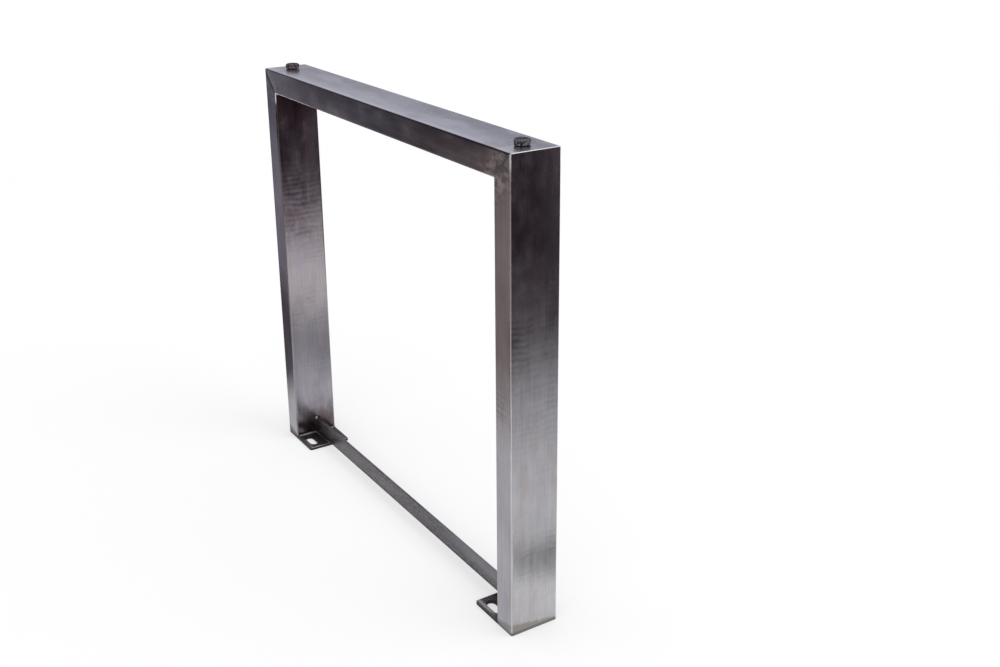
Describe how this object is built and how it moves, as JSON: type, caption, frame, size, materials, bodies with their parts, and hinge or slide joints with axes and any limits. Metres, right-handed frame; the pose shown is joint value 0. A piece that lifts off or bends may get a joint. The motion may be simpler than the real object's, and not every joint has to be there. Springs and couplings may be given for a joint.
{
  "type": "u shaped table leg",
  "caption": "Welded U-shaped table leg of rectangular steel tube, with slotted table-top plates, a flat stiffener bar and levelling bolts on the floor rail.",
  "frame": {"origin": "middle of the frame, on the table-top plates' mounting faces", "axes": "+X along the floor rail, +Y across the tubes' wide faces, +Z from the table top to the floor: the leg stands upside down on its plates, as pictured"},
  "size_m": [0.8, 0.08, 0.7287],
  "materials": {
    "tube_steel": "raw, brushed along the tube",
    "flat_steel": "raw, ground, heat tinted near the welds",
    "weld_metal": "brushed weld bead with brown heat tint",
    "nut_steel": "plain turned steel",
    "black_bolt_steel": "black oxide"
  },
  "bodies": {
    "frame": {"floor_rail": "tube_steel", "flat_bar": "flat_steel", "left_upright": "tube_steel", "right_upright": "tube_steel", "left_end_plate": "flat_steel", "right_end_plate": "flat_steel", "left_plate_weld": "weld_metal", "right_plate_weld": "weld_metal", "left_mitre_weld": "weld_metal", "right_mitre_weld": "weld_metal", "left_weld_nut": "nut_steel", "right_weld_nut": "nut_steel"},
    "left_foot": {"left_levelling_bolt": "black_bolt_steel"},
    "right_foot": {"right_levelling_bolt": "black_bolt_steel"}
  },
  "joints": [
    {"name": "left_foot_height", "type": "slide", "parent": "frame", "child": "left_foot", "axis": [0, 0, 1], "range_m": [-0.0005, 0.015]},
    {"name": "right_foot_height", "type": "slide", "parent": "frame", "child": "right_foot", "axis": [0, 0, 1], "range_m": [-0.0005, 0.015]}
  ]
}
